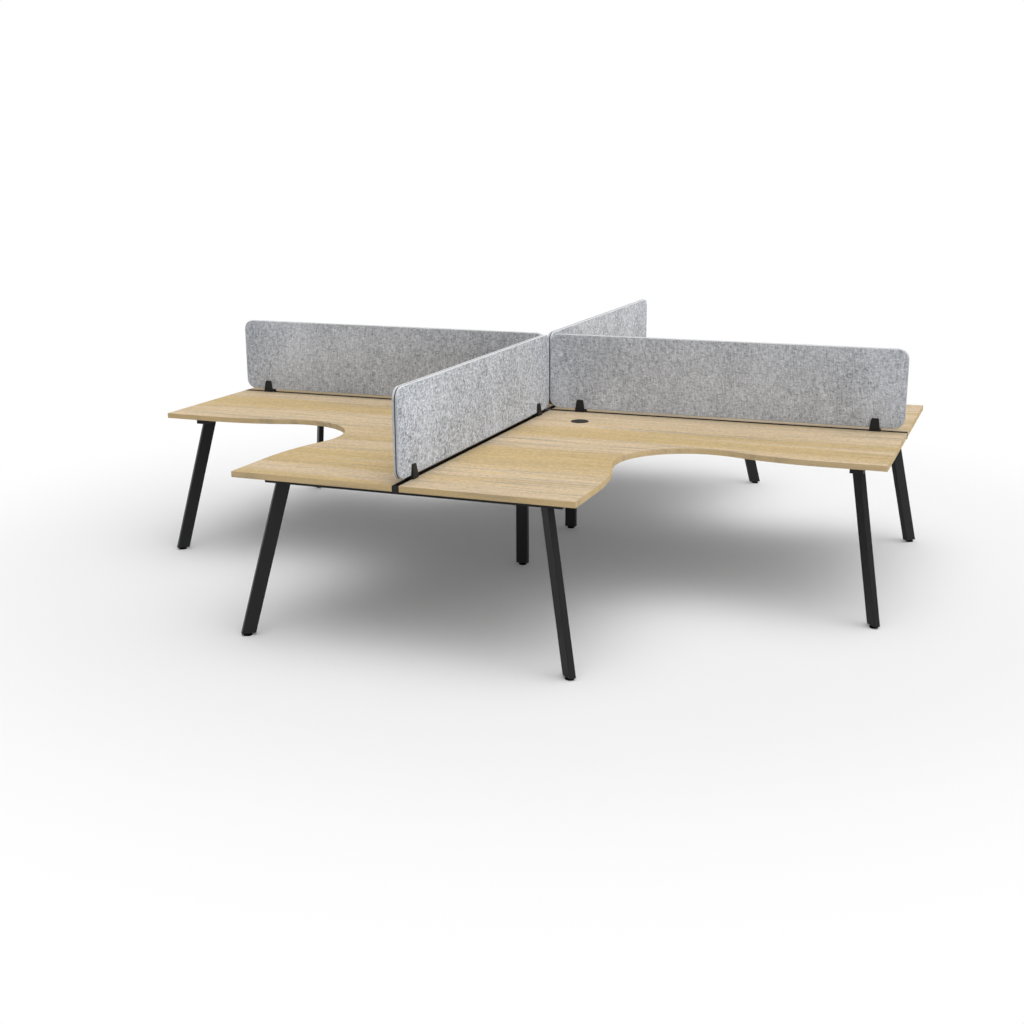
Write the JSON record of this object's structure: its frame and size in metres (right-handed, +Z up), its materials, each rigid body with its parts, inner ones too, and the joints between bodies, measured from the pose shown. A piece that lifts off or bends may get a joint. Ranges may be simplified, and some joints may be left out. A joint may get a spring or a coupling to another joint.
{
  "type": "corner workstation",
  "caption": "Cross-shaped corner workstation: wave-fronted oak L-shaped desktops, grey felt divider screens in clamps, cable grommets, and a black steel frame on splayed legs with levellers.",
  "frame": {"origin": "on the floor, under the centre of the cross of screens", "axes": "+X along the right arm (the long centre beams' direction), -Y along the front arm that points at the picture's viewer, +Z up"},
  "size_m": [3.6464, 3.6464, 1.131],
  "materials": {
    "oak_board": "satin oak laminate, grain along X",
    "oak_edge": "satin oak edge band",
    "grommet_plastic": "fine-textured moulded plastic",
    "grey_felt": "matte marled felt",
    "screen_core": "matte",
    "clamp_plastic": "satin moulded plastic",
    "zinc_steel": "zinc-plated",
    "black_steel": "black-coated steel screws",
    "black_aluminium": "black anodised, satin",
    "frame_plastic": "satin moulded plastic",
    "black_powder_coat": "satin black powder coat",
    "foot_plastic": "satin moulded plastic"
  },
  "bodies": {
    "workstation": {"desktop_front_left": "oak_board", "desktop_front_right": "oak_board", "desktop_back_left": "oak_board", "desktop_back_right": "oak_board", "edge_bands": "oak_edge", "grommet_ring_front_left": "grommet_plastic", "grommet_ring_front_right": "grommet_plastic", "grommet_ring_back_left": "grommet_plastic", "grommet_ring_back_right": "grommet_plastic", "screen_front_felt_left": "grey_felt", "screen_front_felt_right": "grey_felt", "screen_back_felt_left": "grey_felt", "screen_back_felt_right": "grey_felt", "screen_left_felt_front": "grey_felt", "screen_left_felt_back": "grey_felt", "screen_right_felt_front": "grey_felt", "screen_right_felt_back": "grey_felt", "screen_cores": "screen_core", "clamp_jaws": "clamp_plastic", "clamp_bases": "clamp_plastic", "clamp_screws": "black_steel", "gap_rails": "black_aluminium", "gap_rail_joiner": "frame_plastic", "gap_rail_end_caps": "frame_plastic", "end_rail_front": "black_powder_coat", "end_rail_back": "black_powder_coat", "end_rail_left": "black_powder_coat", "end_rail_right": "black_powder_coat", "centre_rail": "black_powder_coat", "rail_end_caps": "frame_plastic", "main_beams": "black_powder_coat", "return_beams": "black_powder_coat", "frame_bolts": "zinc_steel", "desk_screws": "zinc_steel", "leg_front_left": "black_powder_coat", "leg_front_right": "black_powder_coat", "leg_back_left": "black_powder_coat", "leg_back_right": "black_powder_coat", "leg_left_front": "black_powder_coat", "leg_left_back": "black_powder_coat", "leg_right_front": "black_powder_coat", "leg_right_back": "black_powder_coat", "leg_centre_front": "black_powder_coat", "leg_centre_back": "black_powder_coat", "leg_plugs": "frame_plastic"},
    "cover_front_left": {"grommet_cover_front_left": "grommet_plastic"},
    "cover_front_right": {"grommet_cover_front_right": "grommet_plastic"},
    "cover_back_left": {"grommet_cover_back_left": "grommet_plastic"},
    "cover_back_right": {"grommet_cover_back_right": "grommet_plastic"},
    "levelling_foot_front_left": {"foot_front_left": "foot_plastic"},
    "levelling_foot_front_right": {"foot_front_right": "foot_plastic"},
    "levelling_foot_back_left": {"foot_back_left": "foot_plastic"},
    "levelling_foot_back_right": {"foot_back_right": "foot_plastic"},
    "levelling_foot_left_front": {"foot_left_front": "foot_plastic"},
    "levelling_foot_left_back": {"foot_left_back": "foot_plastic"},
    "levelling_foot_right_front": {"foot_right_front": "foot_plastic"},
    "levelling_foot_right_back": {"foot_right_back": "foot_plastic"},
    "levelling_foot_centre_front": {"foot_centre_front": "foot_plastic"},
    "levelling_foot_centre_back": {"foot_centre_back": "foot_plastic"}
  },
  "joints": [
    {"name": "cover_turn_front_left", "type": "hinge", "parent": "workstation", "child": "cover_front_left", "pos_m": [-0.263, -0.263, 0.735], "axis": [0, 0, 1], "continuous": true},
    {"name": "cover_turn_front_right", "type": "hinge", "parent": "workstation", "child": "cover_front_right", "pos_m": [0.263, -0.263, 0.735], "axis": [0, 0, 1], "continuous": true},
    {"name": "cover_turn_back_left", "type": "hinge", "parent": "workstation", "child": "cover_back_left", "pos_m": [-0.263, 0.263, 0.735], "axis": [0, 0, 1], "continuous": true},
    {"name": "cover_turn_back_right", "type": "hinge", "parent": "workstation", "child": "cover_back_right", "pos_m": [0.263, 0.263, 0.735], "axis": [0, 0, 1], "continuous": true},
    {"name": "foot_height_front_left", "type": "slide", "parent": "workstation", "child": "levelling_foot_front_left", "axis": [0, 0, -1], "range_m": [0, 0.015]},
    {"name": "foot_height_front_right", "type": "slide", "parent": "workstation", "child": "levelling_foot_front_right", "axis": [0, 0, -1], "range_m": [0, 0.015]},
    {"name": "foot_height_back_left", "type": "slide", "parent": "workstation", "child": "levelling_foot_back_left", "axis": [0, 0, -1], "range_m": [0, 0.015]},
    {"name": "foot_height_back_right", "type": "slide", "parent": "workstation", "child": "levelling_foot_back_right", "axis": [0, 0, -1], "range_m": [0, 0.015]},
    {"name": "foot_height_left_front", "type": "slide", "parent": "workstation", "child": "levelling_foot_left_front", "axis": [0, 0, -1], "range_m": [0, 0.015]},
    {"name": "foot_height_left_back", "type": "slide", "parent": "workstation", "child": "levelling_foot_left_back", "axis": [0, 0, -1], "range_m": [0, 0.015]},
    {"name": "foot_height_right_front", "type": "slide", "parent": "workstation", "child": "levelling_foot_right_front", "axis": [0, 0, -1], "range_m": [0, 0.015]},
    {"name": "foot_height_right_back", "type": "slide", "parent": "workstation", "child": "levelling_foot_right_back", "axis": [0, 0, -1], "range_m": [0, 0.015]},
    {"name": "foot_height_centre_front", "type": "slide", "parent": "workstation", "child": "levelling_foot_centre_front", "axis": [0, 0, -1], "range_m": [0, 0.015]},
    {"name": "foot_height_centre_back", "type": "slide", "parent": "workstation", "child": "levelling_foot_centre_back", "axis": [0, 0, -1], "range_m": [0, 0.015]}
  ]
}
